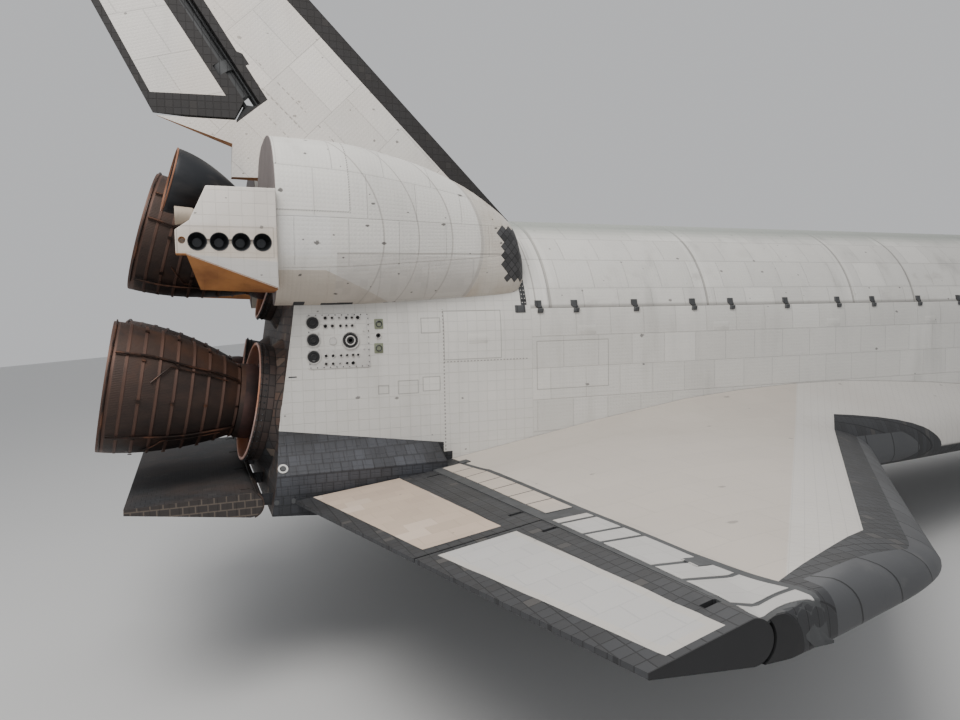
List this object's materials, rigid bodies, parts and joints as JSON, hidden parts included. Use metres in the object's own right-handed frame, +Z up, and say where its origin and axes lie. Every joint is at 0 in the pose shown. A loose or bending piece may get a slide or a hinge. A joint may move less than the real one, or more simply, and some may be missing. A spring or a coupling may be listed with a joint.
{
  "type": "space shuttle orbiter",
  "caption": "Winged orbiter parked on its landing gear, with hinged bay doors and radiators, swivelling engines, elevons, body flap and a split rudder.",
  "frame": {"origin": "on the floor, at the centre of the part's footprint", "axes": "+X towards the nose, +Y to port, +Z up; the airframe stands 4 degrees nose down on its gear"},
  "size_m": [36.3104, 23.72, 17.4316],
  "materials": {
    "blanket": "matte quilted insulation",
    "black_tile": "matte black tile",
    "carbon": "matte grey moulded carbon",
    "glass": "gloss",
    "cabin": "satin",
    "radiator": "polished",
    "engine_metal": "heat-stained",
    "steel": "satin",
    "gear_paint": "satin",
    "tyre": "matte"
  },
  "bodies": {
    "airframe": {"nose_cap": "carbon", "forward_fuselage": "blanket", "forward_thruster_module": "blanket", "cabin_glazing": "glass", "flight_deck": "cabin", "mid_fuselage": "blanket", "aft_fuselage": "blanket", "base_heat_shield": "black_tile", "fin": "blanket", "wing_left": "blanket", "leading_edge_left": "carbon", "pod_left": "blanket", "thruster_housing_left": "blanket", "main_leg_left": "gear_paint", "main_gear_door_left": "black_tile", "nose_gear_door_left": "black_tile", "wing_right": "blanket", "leading_edge_right": "carbon", "pod_right": "blanket", "thruster_housing_right": "blanket", "main_leg_right": "gear_paint", "main_gear_door_right": "black_tile", "nose_gear_door_right": "black_tile", "nose_leg": "gear_paint"},
    "side_hatch": {"side_hatch": "blanket"},
    "bay_door_left": {"bay_door_left": "blanket"},
    "radiator_left": {"radiator_left": "radiator"},
    "elevon_inner_left": {"elevon_inner_left": "blanket"},
    "elevon_outer_left": {"elevon_outer_left": "blanket"},
    "main_wheels_left": {"main_hub_left": "steel", "main_tyre_inner_left": "tyre", "main_tyre_outer_left": "tyre"},
    "bay_door_right": {"bay_door_right": "blanket"},
    "radiator_right": {"radiator_right": "radiator"},
    "elevon_inner_right": {"elevon_inner_right": "blanket"},
    "elevon_outer_right": {"elevon_outer_right": "blanket"},
    "main_wheels_right": {"main_hub_right": "steel", "main_tyre_inner_right": "tyre", "main_tyre_outer_right": "tyre"},
    "body_flap": {"body_flap": "black_tile"},
    "rudder": {"rudder_barrel": "black_tile"},
    "speed_brake_left": {"speed_brake_left": "blanket"},
    "speed_brake_right": {"speed_brake_right": "blanket"},
    "engine_upper_pitch": {"engine_upper_gimbal": "steel"},
    "engine_upper_yaw": {"engine_upper": "engine_metal"},
    "engine_left_pitch": {"engine_left_gimbal": "steel"},
    "engine_left_yaw": {"engine_left": "engine_metal"},
    "engine_right_pitch": {"engine_right_gimbal": "steel"},
    "engine_right_yaw": {"engine_right": "engine_metal"},
    "pod_engine_left_pitch": {"pod_engine_left_gimbal": "steel"},
    "pod_engine_left_yaw": {"pod_engine_left": "engine_metal"},
    "pod_engine_right_pitch": {"pod_engine_right_gimbal": "steel"},
    "pod_engine_right_yaw": {"pod_engine_right": "engine_metal"},
    "nose_steering": {"nose_fork": "gear_paint"},
    "nose_wheels": {"nose_hub": "steel", "nose_tyre_left": "tyre", "nose_tyre_right": "tyre"}
  },
  "joints": [
    {"name": "side_hatch", "type": "hinge", "parent": "airframe", "child": "side_hatch", "pos_m": [11.29019, 2.60109, 3.61691], "axis": [-0.9976, 0, 0.0698], "range_deg": [0, 92]},
    {"name": "bay_door_left", "type": "hinge", "parent": "airframe", "child": "bay_door_left", "pos_m": [0.33414, 2.681, 6.06313], "axis": [-0.9976, 0, 0.0698], "range_deg": [0, 175.5]},
    {"name": "radiator_left", "type": "hinge", "parent": "bay_door_left", "child": "radiator_left", "pos_m": [4.83762, 2.31766, 6.2424], "axis": [0.9976, 0, -0.0698], "range_deg": [0, 35.5]},
    {"name": "elevon_inner_left", "type": "hinge", "parent": "airframe", "child": "elevon_inner_left", "pos_m": [-11.50245, 5.6175, 3.65826], "axis": [-0.0054, -0.997, -0.0775], "range_deg": [-33.5, 18]},
    {"name": "elevon_outer_left", "type": "hinge", "parent": "airframe", "child": "elevon_outer_left", "pos_m": [-11.47912, 9.91, 3.99183], "axis": [-0.0054, -0.997, -0.0775], "range_deg": [-33.5, 18]},
    {"name": "main_wheels_left", "type": "hinge", "parent": "airframe", "child": "main_wheels_left", "pos_m": [-5.94074, 3.454, 0.56401], "axis": [0, 1, 0], "continuous": true},
    {"name": "bay_door_right", "type": "hinge", "parent": "airframe", "child": "bay_door_right", "pos_m": [0.33414, -2.681, 6.06313], "axis": [0.9976, 0, -0.0698], "range_deg": [0, 175.5]},
    {"name": "radiator_right", "type": "hinge", "parent": "bay_door_right", "child": "radiator_right", "pos_m": [4.83762, -2.31766, 6.2424], "axis": [-0.9976, 0, 0.0698], "range_deg": [0, 35.5]},
    {"name": "elevon_inner_right", "type": "hinge", "parent": "airframe", "child": "elevon_inner_right", "pos_m": [-11.50245, -5.6175, 3.65826], "axis": [0.0054, -0.997, 0.0775], "range_deg": [-33.5, 18]},
    {"name": "elevon_outer_right", "type": "hinge", "parent": "airframe", "child": "elevon_outer_right", "pos_m": [-11.47912, -9.91, 3.99183], "axis": [0.0054, -0.997, 0.0775], "range_deg": [-33.5, 18]},
    {"name": "main_wheels_right", "type": "hinge", "parent": "airframe", "child": "main_wheels_right", "pos_m": [-5.94074, -3.454, 0.56401], "axis": [0, 1, 0], "continuous": true},
    {"name": "body_flap", "type": "hinge", "parent": "airframe", "child": "body_flap", "pos_m": [-14.77953, 0, 3.78586], "axis": [0, -1, 0], "range_deg": [-11.7, 22.5]},
    {"name": "rudder", "type": "hinge", "parent": "airframe", "child": "rudder", "pos_m": [-13.86268, 0, 11.43553], "axis": [-0.4666, 0, 0.8845], "range_deg": [-27.1, 27.1]},
    {"name": "speed_brake_left", "type": "hinge", "parent": "rudder", "child": "speed_brake_left", "pos_m": [-13.86268, 0, 11.43553], "axis": [0.4666, 0, -0.8845], "range_deg": [0, 49.3]},
    {"name": "speed_brake_right", "type": "hinge", "parent": "rudder", "child": "speed_brake_right", "pos_m": [-13.86268, 0, 11.43553], "axis": [-0.4666, 0, 0.8845], "range_deg": [0, 49.3]},
    {"name": "engine_upper_pitch", "type": "hinge", "parent": "airframe", "child": "engine_upper_pitch", "pos_m": [-12.30316, 0, 7.53224], "axis": [0, -1, 0], "range_deg": [-10.5, 10.5]},
    {"name": "engine_upper_yaw", "type": "hinge", "parent": "engine_upper_pitch", "child": "engine_upper_yaw", "pos_m": [-12.30316, 0, 7.53224], "axis": [-0.342, 0, -0.9397], "range_deg": [-8.5, 8.5]},
    {"name": "engine_left_pitch", "type": "hinge", "parent": "airframe", "child": "engine_left_pitch", "pos_m": [-13.06754, 1.346, 5.03046], "axis": [0, -1, 0], "range_deg": [-10.5, 10.5]},
    {"name": "engine_left_yaw", "type": "hinge", "parent": "engine_left_pitch", "child": "engine_left_yaw", "pos_m": [-13.06754, 1.346, 5.03046], "axis": [-0.2422, 0, -0.9702], "range_deg": [-8.5, 8.5]},
    {"name": "engine_right_pitch", "type": "hinge", "parent": "airframe", "child": "engine_right_pitch", "pos_m": [-13.06754, -1.346, 5.03046], "axis": [0, -1, 0], "range_deg": [-10.5, 10.5]},
    {"name": "engine_right_yaw", "type": "hinge", "parent": "engine_right_pitch", "child": "engine_right_yaw", "pos_m": [-13.06754, -1.346, 5.03046], "axis": [-0.2422, 0, -0.9702], "range_deg": [-8.5, 8.5]},
    {"name": "pod_engine_left_pitch", "type": "hinge", "parent": "airframe", "child": "pod_engine_left_pitch", "pos_m": [-13.68564, 2.231, 8.86392], "axis": [0, -1, 0], "range_deg": [-6, 6]},
    {"name": "pod_engine_left_yaw", "type": "hinge", "parent": "pod_engine_left_pitch", "child": "pod_engine_left_yaw", "pos_m": [-13.68564, 2.231, 8.86392], "axis": [-0.3403, 0, -0.9403], "range_deg": [-7, 7]},
    {"name": "pod_engine_right_pitch", "type": "hinge", "parent": "airframe", "child": "pod_engine_right_pitch", "pos_m": [-13.68564, -2.231, 8.86392], "axis": [0, -1, 0], "range_deg": [-6, 6]},
    {"name": "pod_engine_right_yaw", "type": "hinge", "parent": "pod_engine_right_pitch", "child": "pod_engine_right_yaw", "pos_m": [-13.68564, -2.231, 8.86392], "axis": [-0.3403, 0, -0.9403], "range_deg": [-7, 7]},
    {"name": "nose_steering", "type": "hinge", "parent": "airframe", "child": "nose_steering", "pos_m": [14.54791, 0, 0.80404], "axis": [0.0698, 0, 0.9976], "range_deg": [-9, 9]},
    {"name": "nose_wheels", "type": "hinge", "parent": "nose_steering", "child": "nose_wheels", "pos_m": [14.52001, 0, 0.40501], "axis": [0, 1, 0], "continuous": true}
  ],
  "couplings": [
    {"joint": "speed_brake_right", "follows": "speed_brake_left", "ratio": 1}
  ]
}
